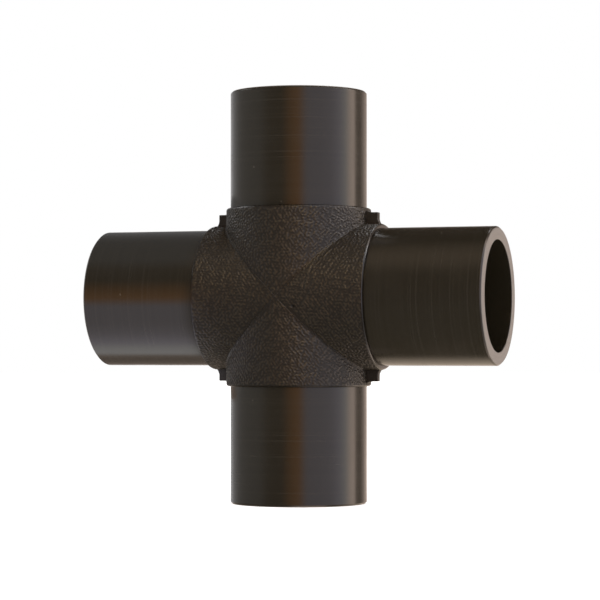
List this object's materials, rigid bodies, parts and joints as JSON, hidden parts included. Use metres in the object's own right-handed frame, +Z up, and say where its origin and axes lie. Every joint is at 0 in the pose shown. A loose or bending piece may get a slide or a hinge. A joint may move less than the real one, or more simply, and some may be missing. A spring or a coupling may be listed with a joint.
{
  "type": "cross fitting",
  "caption": "Equal cross fitting for plastic pipe: a hollow grained hub with smooth plain spigots up, down, left and right in one plane, for fusing or coupling to pipe ends.",
  "frame": {"origin": "the point where the axes of the two runs cross, in the middle of the hub", "axes": "+Z up along the upright run, out of the top spigot; +X along the level run, out of the right spigot; +Y square to the plane of the four spigots, away from the front"},
  "size_m": [0.19, 0.067, 0.19],
  "materials": {
    "hub_plastic": "black polyethylene with a fine leather grain, satin",
    "spigot_plastic": "black polyethylene, smooth, with fine turning lines round it"
  },
  "bodies": {
    "root": {"hub_body": "hub_plastic", "top_spigot": "spigot_plastic", "bottom_spigot": "spigot_plastic", "left_spigot": "spigot_plastic", "right_spigot": "spigot_plastic", "top_left_web": "hub_plastic", "top_right_web": "hub_plastic", "bottom_left_web": "hub_plastic", "bottom_right_web": "hub_plastic"}
  },
  "joints": []
}
